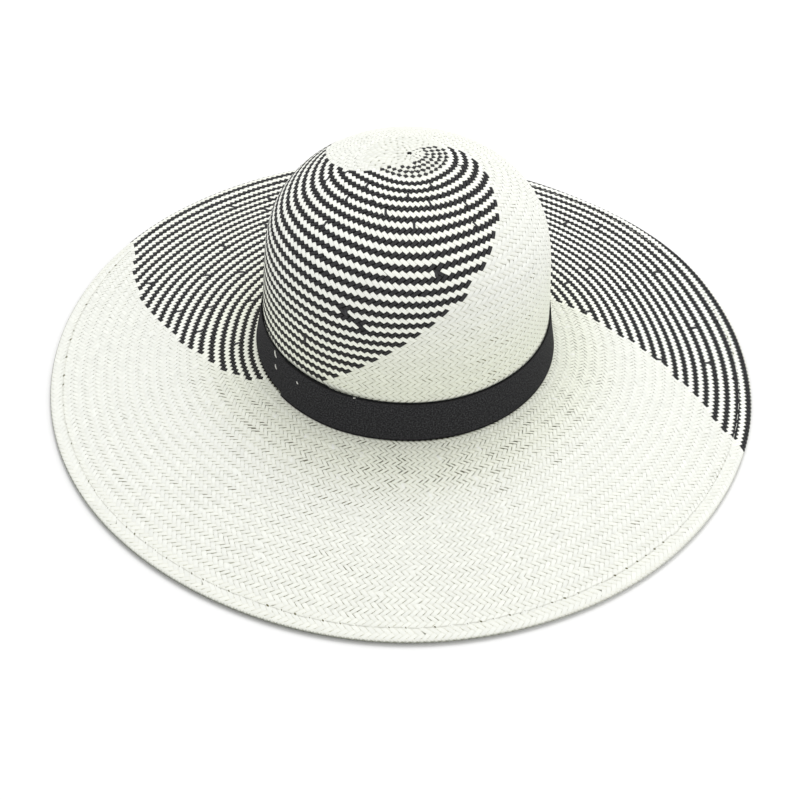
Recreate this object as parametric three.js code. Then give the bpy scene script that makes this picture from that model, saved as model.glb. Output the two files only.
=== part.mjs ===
// A floppy straw hat with a round crown, a wide brim and a dark band, resting on its brim.
// Millimetres, +Z up. The origin is on the floor below the middle of the rim, and the wearer
// looks along -Y. Angles are in degrees, anticlockwise from +X as seen from above.

import * as THREE from "three";

// Driving dimensions
const WALL = 1.8; // woven straw
const GAP = 0.3; // between neighbouring pieces
const SIDES = 72; // steps once round the hat
const CROWN_SHIFT = { x: 1.5, y: -2 }; // from the middle of the rim to the middle of the crown
const RIM_RADIUS = 222;
const BRIM_FOOT_RADIUS = 94; // where the brim starts to fall away from the crown
const BRIM_FOOT_HEIGHT = 29.8;
const BRIM_RIM_HEIGHT = 4.4; // top of the brim where its sheet ends
const HEM_WIDTH = 10; // straw turned under along the rim
const HEM_NOSE = 3; // the part of the hem beyond the end of the brim's sheet
const HEM_FLAP = 1.5; // thickness of the turned flap
const HEM_FOOT = 2.6; // flat the hat rests on
const BAND_BOTTOM = 30.2;
const BAND_TOP = 57.4; // the band's width is 27 along the crown's wall
const BAND_THICKNESS = 1.0;
const BAND_END = 210; // angle of the end that shows
const BAND_LAP = 30; // degrees by which the ends overlap
const BAND_RISE = 30; // degrees over which the outer end climbs over the inner one

// The crown's outer wall, from its foot to the top of the band
const CROWN_FOOT = [
  { radius: 92.4, height: 30.1 },
  { radius: 90.1, height: 43.8 },
  { radius: 88.3, height: BAND_TOP },
];

// The crown's outer wall above the band, drawn as one smooth curve
const CROWN_DOME = [
  { radius: 88.3, height: BAND_TOP },
  { radius: 87.9, height: 69 },
  { radius: 87.0, height: 84 },
  { radius: 86.2, height: 97 },
  { radius: 84.6, height: 110 },
  { radius: 80.6, height: 124 },
  { radius: 71.6, height: 137.5 },
  { radius: 58.2, height: 148.6 },
  { radius: 41.7, height: 157.6 },
  { radius: 21.0, height: 165 },
  { radius: 0.0, height: 167.5 },
];
const DOME_STEPS = 13;

// How far the rim stands out of its round line
const RIM_WAVES = [
  { angle: 0, out: 0.4 },
  { angle: 30, out: 1.8 },
  { angle: 60, out: -1.9 },
  { angle: 90, out: 0.2 },
  { angle: 120, out: -0.3 },
  { angle: 150, out: 0.7 },
  { angle: 180, out: -0.1 },
  { angle: 210, out: 0.3 },
  { angle: 240, out: -0.5 },
  { angle: 270, out: 0.8 },
  { angle: 300, out: 0.0 },
  { angle: 330, out: -0.8 },
];

// How far the soft brim lifts or sags half way between crown and rim
const BRIM_WAVES = [
  { angle: 0, out: -0.8 },
  { angle: 45, out: 1.3 },
  { angle: 90, out: -0.6 },
  { angle: 135, out: 0.9 },
  { angle: 180, out: -0.9 },
  { angle: 225, out: -1.4 },
  { angle: 270, out: 0.8 },
  { angle: 315, out: 0.9 },
];

// The rounded edge from the floor up: in from the rim, and rise as a share of the hem's height
const NOSE_OUTLINE = [
  { in: 0.5, rise: 0.18 },
  { in: 0.0, rise: 0.45 },
  { in: 0.5, rise: 0.77 },
  { in: 1.5, rise: 0.95 },
];

// Distances from the foot of the brim's slope to the start of the hem, as shares of the way
const BRIM_STATIONS = [0, 0.09, 0.23, 0.38, 0.53, 0.68, 0.84, 1];

const STRAW_WHITE = { color: "#eef0e6", roughness: 0.72, metalness: 0 };
const STRAW_CREAM = { color: "#e6e9da", roughness: 0.75, metalness: 0 };
const BAND_BLACK = { color: "#2d2d2f", roughness: 0.85, metalness: 0 };

const radians = THREE.MathUtils.degToRad;

// Value of a table of waves at an angle, blended softly between its rows
function waveAt(table, angle) {
  const step = 360 / table.length;
  const turn = THREE.MathUtils.euclideanModulo(angle, 360) / step;
  const row = Math.floor(turn);
  const share = (1 - Math.cos(Math.PI * (turn - row))) / 2;
  const next = table[(row + 1) % table.length];
  return THREE.MathUtils.lerp(table[row].out, next.out, share);
}

function rimRadius(angle) {
  return RIM_RADIUS + waveAt(RIM_WAVES, angle);
}

// Top of the brim's sheet
function brimTop(radius, angle) {
  const end = rimRadius(angle) - HEM_NOSE;
  const share = THREE.MathUtils.clamp((radius - BRIM_FOOT_RADIUS) / (end - BRIM_FOOT_RADIUS), 0, 1);
  const slope = THREE.MathUtils.lerp(BRIM_FOOT_HEIGHT, BRIM_RIM_HEIGHT, share);
  return slope + waveAt(BRIM_WAVES, angle) * Math.sin(Math.PI * share) ** 2;
}

// How much of the crown's shift a ring has: all of it at the brim's foot, and none at the rim
function shiftShare(radius) {
  const share = (radius - BRIM_FOOT_RADIUS) / (RIM_RADIUS - BRIM_FOOT_RADIUS);
  return 1 - THREE.MathUtils.clamp(share, 0, 1);
}

// A closed solid through sections that stand at the given angles. Each section is a list of
// { radius, height }, anticlockwise with the radius to the right, and all have the same count.
function solidThrough(sectionAt, angles, isRing) {
  const sections = angles.map(sectionAt);
  const count = sections[0].length;
  const positions = [];
  sections.forEach((section, i) => {
    const a = radians(angles[i]);
    for (const { radius, height } of section) {
      const share = shiftShare(radius);
      const x = CROWN_SHIFT.x * share + radius * Math.cos(a);
      const y = CROWN_SHIFT.y * share + radius * Math.sin(a);
      positions.push(x, y, height);
    }
  });
  const index = [];
  const spans = isRing ? angles.length : angles.length - 1;
  for (let i = 0; i < spans; i += 1) {
    const here = i * count;
    const there = ((i + 1) % angles.length) * count;
    for (let j = 0; j < count; j += 1) {
      const k = (j + 1) % count;
      index.push(here + j, there + j, there + k);
      index.push(here + j, there + k, here + k);
    }
  }
  if (!isRing) {
    const last = (angles.length - 1) * count;
    const outline = sections[0].map(({ radius, height }) => new THREE.Vector2(radius, height));
    for (const [a, b, c] of THREE.ShapeUtils.triangulateShape(outline, [])) {
      index.push(a, b, c);
      index.push(last + a, last + c, last + b);
    }
  }
  const geometry = new THREE.BufferGeometry();
  geometry.setAttribute("position", new THREE.Float32BufferAttribute(positions, 3));
  geometry.setIndex(index);
  geometry.computeVertexNormals();
  return geometry;
}

function anglesRound() {
  return Array.from({ length: SIDES }, (_, i) => (i * 360) / SIDES);
}

function namedMesh(name, geometry, finish) {
  const mesh = new THREE.Mesh(geometry, new THREE.MeshStandardMaterial(finish));
  mesh.name = name;
  return mesh;
}

// The crown's outer outline as points, from its foot to the middle of its top
function crownOutline() {
  const foot = CROWN_FOOT.slice(0, -1).map(({ radius, height }) => new THREE.Vector2(radius, height));
  const dome = CROWN_DOME.map(({ radius, height }) => new THREE.Vector2(radius, height));
  return [...foot, ...new THREE.SplineCurve(dome).getSpacedPoints(DOME_STEPS)];
}

// The same outline moved inwards, square to the wall
function inwards(outline, distance) {
  return outline.map((point, i) => {
    const before = outline[Math.max(i - 1, 0)];
    const after = outline[Math.min(i + 1, outline.length - 1)];
    const along = after.clone().sub(before).normalize();
    return new THREE.Vector2(point.x - along.y * distance, point.y + along.x * distance);
  });
}

function crown() {
  const outer = crownOutline();
  const inner = inwards(outer, WALL);
  inner[0].y = outer[0].y;
  outer[outer.length - 1].x = 0;
  inner[inner.length - 1].set(0, outer[outer.length - 1].y - WALL);
  const geometry = new THREE.LatheGeometry([...inner.reverse(), ...outer], SIDES);
  geometry.rotateX(Math.PI / 2);
  const mesh = namedMesh("crown", geometry, STRAW_WHITE);
  mesh.position.set(CROWN_SHIFT.x, CROWN_SHIFT.y, 0);
  return mesh;
}

// One sheet from under the crown's foot to the rim
function brim() {
  const inside = CROWN_FOOT[0].radius - WALL;
  const sectionAt = (angle) => {
    const hemStart = rimRadius(angle) - HEM_WIDTH;
    const end = rimRadius(angle) - HEM_NOSE;
    const slope = BRIM_STATIONS.map((share) => THREE.MathUtils.lerp(BRIM_FOOT_RADIUS, hemStart, share));
    const radii = [inside, ...slope, end];
    const top = radii.map((radius) => ({ radius, height: brimTop(radius, angle) }));
    const under = top.map(({ radius, height }) => ({ radius, height: height - WALL }));
    return [...under, ...top.reverse()];
  };
  return namedMesh("brim", solidThrough(sectionAt, anglesRound(), true), STRAW_WHITE);
}

// The rim turned under: a rounded nose beyond the sheet, and a flap below it with a flat foot
function brimHem() {
  const sectionAt = (angle) => {
    const rim = rimRadius(angle);
    const end = rim - HEM_NOSE;
    const wall = end + GAP;
    const flapStart = rim - HEM_WIDTH;
    const top = brimTop(end, angle);
    const flapTop = (radius) => brimTop(radius, angle) - WALL - GAP;
    const footOuter = rim - HEM_NOSE / 2;
    return [
      { radius: flapStart, height: flapTop(flapStart) - HEM_FLAP },
      { radius: footOuter - HEM_FOOT, height: 0 },
      { radius: footOuter, height: 0 },
      ...NOSE_OUTLINE.map((point) => ({ radius: rim - point.in, height: top * point.rise })),
      { radius: wall, height: top },
      { radius: wall, height: flapTop(end) },
      { radius: flapStart, height: flapTop(flapStart) },
    ];
  };
  return namedMesh("brim_hem", solidThrough(sectionAt, anglesRound(), true), STRAW_CREAM);
}

// One flat strip once round the foot of the crown, with its ends overlapping
function band() {
  const climb = BAND_THICKNESS + GAP;
  const step = 360 / SIDES;
  const count = (360 + BAND_LAP) / step + 1;
  const angles = Array.from({ length: count }, (_, i) => BAND_END + i * step);
  const heights = [BAND_BOTTOM, CROWN_FOOT[1].height, BAND_TOP];
  const sectionAt = (angle) => {
    const past = (angle - BAND_END - BAND_LAP) / BAND_RISE;
    const lift = climb * (1 - THREE.MathUtils.smoothstep(past, 0, 1));
    const inner = heights.map((height, i) => ({ radius: CROWN_FOOT[i].radius + GAP + lift, height }));
    const outer = inner.map(({ radius, height }) => ({ radius: radius + BAND_THICKNESS, height }));
    return [...outer, ...inner.reverse()];
  };
  return namedMesh("band", solidThrough(sectionAt, angles, false), BAND_BLACK);
}

const hat = new THREE.Group();
hat.add(crown(), brim(), brimHem(), band());

export default hat;
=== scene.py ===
# Looks of a floppy straw hat: two woven surfaces, a turned and stitched rim and a dark band.
# Shapes are worked out in millimetres in the shared frame and turned to metres in each mesh.
# Angles run anticlockwise from +X as seen from above, and the camera looks along +Y.

import math

import bpy
import numpy as np
from mathutils import Matrix, Vector


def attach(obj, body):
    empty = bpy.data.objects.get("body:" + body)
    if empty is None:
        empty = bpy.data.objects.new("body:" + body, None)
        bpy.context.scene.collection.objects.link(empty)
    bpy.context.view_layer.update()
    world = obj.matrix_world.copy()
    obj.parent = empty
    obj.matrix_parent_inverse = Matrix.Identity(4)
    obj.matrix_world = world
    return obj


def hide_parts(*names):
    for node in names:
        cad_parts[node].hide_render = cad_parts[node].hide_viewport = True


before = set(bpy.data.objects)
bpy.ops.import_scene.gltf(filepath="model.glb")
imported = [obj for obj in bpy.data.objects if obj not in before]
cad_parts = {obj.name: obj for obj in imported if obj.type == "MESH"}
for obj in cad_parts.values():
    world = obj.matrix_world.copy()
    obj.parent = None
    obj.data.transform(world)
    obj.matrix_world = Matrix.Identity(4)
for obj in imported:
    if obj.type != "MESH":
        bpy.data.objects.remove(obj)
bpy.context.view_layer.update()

MM = 0.001
SEED = 4405

# Shape of the hat, as in the CAD
WALL = 1.8
SHIFT_X = 1.5
SHIFT_Y = -2.0
RIM_RADIUS = 222.0
BRIM_FOOT_RADIUS = 94.0
BRIM_FOOT_HEIGHT = 29.8
BRIM_RIM_HEIGHT = 4.4
HEM_NOSE = 3.0
BRIM_LENGTH = 127.6
BAND_BOTTOM = 30.2
BAND_MIDDLE = 43.8
BAND_TOP = 57.4
CROWN_FOOT_RADII = (92.4, 90.1, 88.3)
CROWN_DOME = [(88.3, 57.4), (87.9, 69), (87.0, 84), (86.2, 97), (84.6, 110), (80.6, 124), (71.6, 137.5),
    (58.2, 148.6), (41.7, 157.6), (21.0, 165), (0.0, 167.5)]
RIM_WAVES = np.array([0.4, 1.8, -1.9, 0.2, -0.3, 0.7, -0.1, 0.3, -0.5, 0.8, 0.0, -0.8])
BRIM_WAVES = np.array([-0.8, 1.3, -0.6, 0.9, -0.9, -1.4, 0.8, 0.9])

# The strip of the band lies inside the CAD's band: its gap to the crown, how far its outer end
# stands off the inner one, and the angles of its end, its lap and the rise over the inner end
BAND_GAP = 0.45
BAND_THICKNESS = 0.65
BAND_STEP = 0.85
BAND_END = 218.0
BAND_LAP = 22.0
BAND_RISE = 30.0

# The weave's middle lies off the crown's axis, and comes back onto it further down
TOP_SHIFT_X = -1.0
TOP_SHIFT_Y = 5.0
TOP_SHIFT_FROM = 35.0
TOP_SHIFT_FADE = 50.0
BRIM_SPREAD = 0.98  # radius that the brim gains for each millimetre down its slope

# The rounded edge and the flap below it, from the end of the brim's sheet: out and height
NOSE_CURVE = [(0.0, 4.4), (1.5, 4.18), (2.6, 3.5), (3.0, 2.6),
              (2.6, 1.8), (1.5, 1.1), (0.2, 0.4), (-0.4, 0.0)]
FLAP_CURVE = [(-0.4, 0.0), (-1.3, 0.0), (-7.0, 2.22)]

# Weave of the crown: distance of each dark row from the middle of the top, along the surface
CROWN_DOT_ROWS = [10.0, 13.7, 17.5, 21.1]
CROWN_DOT_COUNTS = [20, 26, 31, 34]
CROWN_ROWS = [26.9, 32.4, 38.1, 44.0, 50.2, 56.4, 62.7, 69.0, 75.2, 81.6, 88.5, 95.2, 101.9, 108.6, 115.2,
    121.8, 128.0, 134.2, 140.3, 146.4, 152.5, 158.8, 165.0, 171.5, 178.0, 184.5, 191.0]
CROWN_END = 191.2

# How far the rows wander from those distances: by angle, at each station down the surface
CROWN_DRIFT_STATIONS = [27, 45, 63, 82, 102, 122, 141, 160]
CROWN_DRIFT = {
    40: [0, 0.5, 0.4, 0.2, 0, 0, 0, 0],
    90: [0] * 8,
    130: [1, 1, 1, 1, 0.5, 0.3, 0.8, 1],
    160: [2.5, 2.3, 2.5, 2.5, 1.3, 0.8, 2, 2.5],
    190: [4, 3.6, 4, 4.1, 2.1, 1.3, 3.1, 4.5],
    200: [3, 2.8, 2.7, 2.5, 1.1, 0.9, 1.8, 2.5],
    220: [0, 1.1, 0.2, 0.7, 0.5, 0.2, 0.4, 0.5],
    240: [-0.5, 0.2, -0.6, -0.1, 1.2, 1.3, 1.9, 1],
    260: [-0.1, 0, 0.3, 0, 0.4, -0.1, -0.8, -1],
    280: [0.2, 0, 0.3, 0.5, -0.2, -2.5, -2.5, -2],
    300: [-0.1, 0.7, -0.4, -1, -2, -2.5, -2, -2],
    320: [-0.6, 1.4, 0.6, -0.5, -1.5, -2, -1.5, -1],
    340: [0.1, 2.8, 1, 0, -0.5, -1, -0.5, 0],
    360: [0.7, 3, 2, 1, 0, 0, 0, 0],
}

# Floats once round before any strand is added, and the added strands as (distance, how many).
# Then the places that are known, and the white floats that are black, as (angle, distance).
CROWN_COUNT = 52
CROWN_RINGS = [(31, 12), (36, 8), (41, 9), (47, 8), (54, 8), (64, 7), (80, 6), (90, 7), (107, 5), (113, 3),
    (137, 5), (150, 5), (172, 5)]
CROWN_SEEN = [(221, 47), (192, 49), (227, 33), (254, 47), (220, 66), (283, 78), (246, 107), (288, 41),
    (274, 54), (312, 62), (315, 50), (296, 31), (350, 28), (228, 137), (196, 36), (270, 38)]
CROWN_SKIPPED = [(285.5, 81.5), (245.5, 106), (253.5, 111)]

# Where the dark part ends on each row, as (angle, distance)
CROWN_RIGHT_EDGE = [(413, 10), (405, 13.5), (395.5, 17.5), (389, 21.5), (386, 29), (374, 36), (362, 41),
    (351, 46.5), (341.6, 52.5), (333.6, 58), (328.4, 63.5), (321.5, 69), (314.6, 75), (307.6, 80.5),
    (301, 86.5), (294.7, 94), (283, 107), (272, 120), (259.5, 133), (249, 146.5), (237.5, 161), (213, 191)]
CROWN_LEFT_EDGE = [(282.5, 9.2), (259.7, 11.2), (239, 14.5), (228, 17.5), (217.4, 22), (200.5, 30),
    (188.8, 36), (177, 43), (168, 48.5), (158, 54), (150.6, 58), (145.4, 63.5), (138.5, 69), (131.6, 75),
    (124.6, 80.5), (118, 86.5), (111, 94), (99, 107), (88, 120), (75.5, 133), (65, 146.5), (54, 161),
    (29, 191)]

# Weave of the brim, in the same way: distances run from the brim's foot, down its slope
BRIM_ROWS = [2.2, 8.2, 14.0, 20.0, 26.4, 33.0, 39.3, 45.6, 52.0, 58.4, 64.8, 71.2, 77.7, 84.3, 91.0, 98.0,
    105.2, 112.6, 120.0, 127.4, 134.5, 141.0]
BRIM_DRIFT_STATIONS = [14, 39, 65, 91, 113, 127]
BRIM_DRIFT = {
    4: [0, 1.5, 1.9, 1.9, 1, 0.3],
    12: [0, 0.1, 0.8, -0.6, -0.7, -0.1],
    20: [0, 0.3, -0.4, -1.5, -2, -0.7],
    28: [-0.1, -0.4, -0.7, -1.2, -0.8, 0.4],
    36: [-0.5, -1.3, -0.3, 0, 0.9, 1.6],
    44: [-0.5, -1.5, -1.4, 0.8, 3.2, 4],
    52: [-0.5, -1, -1.5, 0.5, 4.5, 5],
    60: [0, -0.5, 0, 0.8, 3.1, 4],
    90: [0, -2, -3, -2, -2, -1],
    126: [-2, -4, -3.5, -4, -4.8, -3],
    134: [-2, -4.9, -3.1, -3.4, -4, -2.5],
    142: [-2, -4.1, -3.3, -2, -2.8, -2.5],
    150: [-2, -2.7, -2.2, -1.4, -1.7, -3.5],
    158: [-1.5, -0.8, 0.2, 1, -0.6, -3],
    166: [0.4, 0.1, 1.6, 2.5, 1.5, 0],
    174: [-0.2, 1.1, 1.5, 3, 2, 1],
    182: [0.1, 2.2, 2, 3, 2, 1],
    190: [1.1, 2, 2.5, 3, 2.5, 1.5],
    198: [1.3, 2.5, 3, 3, 2.5, 1.5],
    210: [1, 1.5, 2, 2, 1.5, 1],
    222: [0, -1, -1.5, -1.5, -1, 0],
    240: [0] * 6,
    287: [1] * 6,
    312: [-1] * 6,
    340: [1, 1.5, 2, 3, 3, 2],
    348: [1, 1.5, 2.5, 3, 2, 1.7],
    356: [0.5, 1.5, 2.8, 2.5, 1.3, 0.5],
}
BRIM_COUNT = 185
BRIM_RINGS = [(11, 20), (30, 22), (36, 26), (55, 22), (69, 18), (86, 22), (100, 20), (110, 14), (122, 20)]
BRIM_SEEN = [(17, 30), (31, 30), (34.5, 55), (24.5, 70), (0.3, 69.5), (11.5, 99), (1.5, 98), (29, 101.5),
    (46.5, 101), (52, 87), (162, 11), (185, 11), (149, 34), (166.5, 36.5), (177, 37), (153.5, 55),
    (168.5, 56), (141.5, 68), (159.5, 85)]
BRIM_LEFT_EDGE = [(207, 1.5), (204, 8), (200, 14.5), (195.5, 20.5), (191, 27.5), (186.5, 34), (183, 41),
    (179.5, 47.5), (177, 53.5), (174.5, 59.5), (172, 66), (169, 73), (166.5, 80), (164, 86.5), (161.5, 93),
    (159.5, 99), (157, 105), (154.5, 111.5), (151.8, 118), (150.5, 124.5), (146, 143)]
BRIM_RIGHT_EDGE = [(28, 1.5), (25.5, 8), (22.5, 14.5), (18.5, 20.5), (15.5, 27), (12, 33), (9.5, 39.5),
    (7, 46), (5, 53), (2.5, 60), (0, 67), (-3, 74), (-5.5, 80), (-7.5, 87), (-9.8, 93.5), (-11.5, 100.5),
    (-13.8, 107.5), (-15.3, 115), (-16.8, 122), (-18.3, 128), (-23, 143)]

# Camera: metres, degrees and millimetres of lens
CAMERA_DISTANCE = 1.0993
CAMERA_ELEVATION = 42.697
CAMERA_ROLL = 1.786
CAMERA_TARGET = (0.0, 0.0, 0.0018)
CAMERA_LENS = 77.23
CAMERA_SHIFT = (-0.0023, -0.0416)


def smoothstep(x):
    """0 below 0 and 1 above 1, with a soft rise between."""
    x = np.clip(x, 0, 1)
    return x * x * (3 - 2 * x)


def smooth_curve(points, steps):
    """A curve through the points, with this many steps from each one to the next."""
    points = np.array(points, float)
    out = []
    for i in range(len(points) - 1):
        before, here = points[max(i - 1, 0)], points[i]
        there, after = points[i + 1], points[min(i + 2, len(points) - 1)]
        start, end = (there - before) / 2, (after - here) / 2
        for t in np.linspace(0, 1, steps, endpoint=False):
            out.append((2 * here - 2 * there + start + end) * t ** 3
                       + (3 * there - 3 * here - 2 * start - end) * t ** 2 + start * t + here)
    out.append(points[-1])
    return np.array(out)


def path_length(points):
    """Distance of each point along the line through them."""
    return np.concatenate([[0], np.cumsum(np.hypot(*np.diff(points, axis=0).T))])


def wave(table, degrees):
    """Value at an angle, from a table whose rows are spread evenly round the hat."""
    turn = np.mod(degrees, 360) / (360 / len(table))
    row = np.floor(turn).astype(int)
    share = (1 - np.cos(np.pi * (turn - row))) / 2
    return table[row % len(table)] * (1 - share) + table[(row + 1) % len(table)] * share


# Surfaces: each takes an angle in radians and a distance along it

CROWN_FOOT = [[CROWN_FOOT_RADII[1], BAND_MIDDLE], [CROWN_FOOT_RADII[0], 30.1]]
CROWN_PATH = np.vstack([smooth_curve(CROWN_DOME, 40)[::-1], CROWN_FOOT])
CROWN_PATH_AT = path_length(CROWN_PATH)


def crown_radius(s):
    return np.interp(s, CROWN_PATH_AT, CROWN_PATH[:, 0])


def crown_point(theta, s):
    weight = 1 - smoothstep((s - TOP_SHIFT_FROM) / TOP_SHIFT_FADE)
    radius = crown_radius(s)
    x = TOP_SHIFT_X * weight + radius * np.cos(theta)
    y = TOP_SHIFT_Y * weight + radius * np.sin(theta)
    on_dome = np.interp(np.hypot(x, y), CROWN_PATH[:, 0], CROWN_PATH[:, 1])
    on_wall = np.interp(s, CROWN_PATH_AT, CROWN_PATH[:, 1])
    return np.stack([SHIFT_X + x, SHIFT_Y + y, np.where(weight > 0, on_dome, on_wall)], -1)


EDGE_PATH = np.vstack([smooth_curve(NOSE_CURVE, 12)[:-1], FLAP_CURVE])
EDGE_PATH_AT = path_length(EDGE_PATH)
NOSE_LENGTH = EDGE_PATH_AT[-len(FLAP_CURVE)]
EDGE_END = BRIM_LENGTH + EDGE_PATH_AT[-1]


def rim_radius(degrees):
    return RIM_RADIUS + wave(RIM_WAVES, degrees)


def brim_radius(s):
    return BRIM_FOOT_RADIUS + BRIM_SPREAD * s


def with_shift(radius, theta, height):
    """Points of a ring, which shares the crown's shift at the brim's foot and loses it at the rim."""
    moved = np.clip(1 - (radius - BRIM_FOOT_RADIUS) / (RIM_RADIUS - BRIM_FOOT_RADIUS), 0, 1)
    x = SHIFT_X * moved + radius * np.cos(theta)
    y = SHIFT_Y * moved + radius * np.sin(theta)
    return np.stack([x, y, height + 0 * theta], -1)


def brim_point(theta, s):
    """The brim's top, and past its end the rounded edge and the flap below."""
    degrees = np.degrees(theta)
    end = rim_radius(degrees) - HEM_NOSE
    share = np.clip(s / BRIM_LENGTH, -0.03, 1)
    slope = np.clip(share, 0, 1)
    past = np.clip(s - BRIM_LENGTH, 0, None)
    radius = BRIM_FOOT_RADIUS + (end - BRIM_FOOT_RADIUS) * share
    height = BRIM_FOOT_HEIGHT + (BRIM_RIM_HEIGHT - BRIM_FOOT_HEIGHT) * slope
    height = height + wave(BRIM_WAVES, degrees) * np.sin(np.pi * slope) ** 2
    radius = radius + np.interp(past, EDGE_PATH_AT, EDGE_PATH[:, 0])
    height = np.where(past > 0, np.interp(past, EDGE_PATH_AT, EDGE_PATH[:, 1]), height)
    return with_shift(radius, theta, height)


def raised_point(point, theta, s, raised):
    """A point of the surface, moved square to it."""
    step_s, step_theta = 0.6, 0.004
    along = point(theta, s + step_s) - point(theta, s - step_s)
    across = point(theta + step_theta, s) - point(theta - step_theta, s)
    normal = np.cross(along, across)
    normal /= np.maximum(np.linalg.norm(normal, axis=-1, keepdims=True), 1e-9)
    return point(theta, s) + normal * np.asarray(raised)[..., None]


# Meshes

def new_mesh(name, points, faces, tone=None, flow=None):
    """A piece with a tone for each point, and the direction of its fibres as coordinates."""
    mesh = bpy.data.meshes.new(name)
    points = np.asarray(points, np.float32).reshape(-1, 3) * MM
    faces = np.asarray(faces, np.int32)
    sides = faces.shape[-1]
    faces = faces.reshape(-1, sides)
    mesh.vertices.add(len(points))
    mesh.vertices.foreach_set("co", points.ravel())
    mesh.loops.add(faces.size)
    mesh.loops.foreach_set("vertex_index", faces.ravel())
    mesh.polygons.add(len(faces))
    mesh.polygons.foreach_set("loop_start", np.arange(len(faces), dtype=np.int32) * sides)
    mesh.polygons.foreach_set("use_smooth", np.ones(len(faces), bool))
    if tone is not None:
        colours = np.ones((len(points), 4), np.float32)
        colours[:, :3] = np.asarray(tone, np.float32).reshape(len(points), -1)
        attribute = mesh.color_attributes.new("tone", "FLOAT_COLOR", "POINT")
        attribute.data.foreach_set("color", colours.ravel())
    if flow is not None:
        layer = mesh.uv_layers.new(name="flow")
        layer.data.foreach_set("uv", np.asarray(flow, np.float32).reshape(-1, 2)[faces.ravel()].ravel())
    mesh.update(calc_edges=True)
    mesh.validate()
    piece = bpy.data.objects.new(name, mesh)
    bpy.context.scene.collection.objects.link(piece)
    return piece


def finish_piece(piece, material, slot, *nodes):
    piece.data.materials.append(material)
    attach(piece, "root")
    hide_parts(*nodes)


def grid_faces(rows, columns, closed=False):
    """Four-sided faces of a grid of points, joined round its columns if closed."""
    corner = np.arange(rows - 1)[:, None] * columns
    here = np.arange(columns if closed else columns - 1)
    following = (here + 1) % columns
    quads = [corner + here, corner + columns + here, corner + columns + following, corner + following]
    return np.stack(quads, -1).reshape(-1, 4)


def patch_faces(count, rows, columns):
    """Faces of many grids, one after another."""
    return grid_faces(rows, columns) + (np.arange(count) * rows * columns)[:, None, None]


def grid_places(grid, count):
    """Places along and across each of many patches."""
    along, across = np.meshgrid(*grid, indexing="ij")
    return along * np.ones((count, 1, 1)), across * np.ones((count, 1, 1))


# Weave

DRIFT_STEP = 2.0  # degrees
TURN_STEPS = 4096  # samples once round a row
RING_REACH = 5.0  # known places this near a ring of added strands belong to it
TRIES = 12  # angles tried for each added strand, to keep it clear of the others
BACK = (15, 165)  # angles behind the crown, as seen from the front
BACK_SHOWN = (60, 140)  # there the added strands show as black ends
SHORT_FLOAT = 0.7  # limits of a float's share of the usual count once round
LONG_FLOAT = 1.45
MOST_SKEW = 0.09


def drift_function(stations, table):
    """A smooth function of angle and distance from a table of drifts."""
    degrees = np.array(list(table), float)
    values = np.array(list(table.values()), float)
    degrees = np.concatenate([degrees[-1:] - 360, degrees, degrees[:1] + 360])
    values = np.vstack([values[-1:], values, values[:1]])
    fine = np.arange(0, 360, DRIFT_STEP)
    columns = np.stack([np.interp(fine, degrees, values[:, k]) for k in range(values.shape[1])], 1)
    for reach in (1, 2):
        columns = (np.roll(columns, reach, 0) + 2 * columns + np.roll(columns, -reach, 0)) / 4

    def drift(theta, label):
        turn = np.mod(np.degrees(theta), 360) / DRIFT_STEP
        row = np.floor(turn).astype(int) % len(fine)
        share = turn - np.floor(turn)
        place = np.clip(np.interp(label, stations, np.arange(len(stations))), 0, len(stations) - 1.001)
        column = np.floor(place).astype(int)
        part = place - column
        low, high = [columns[k, column] * (1 - part) + columns[k, column + 1] * part
                     for k in (row, (row + 1) % len(fine))]
        return low * (1 - share) + high * share

    return drift


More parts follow.
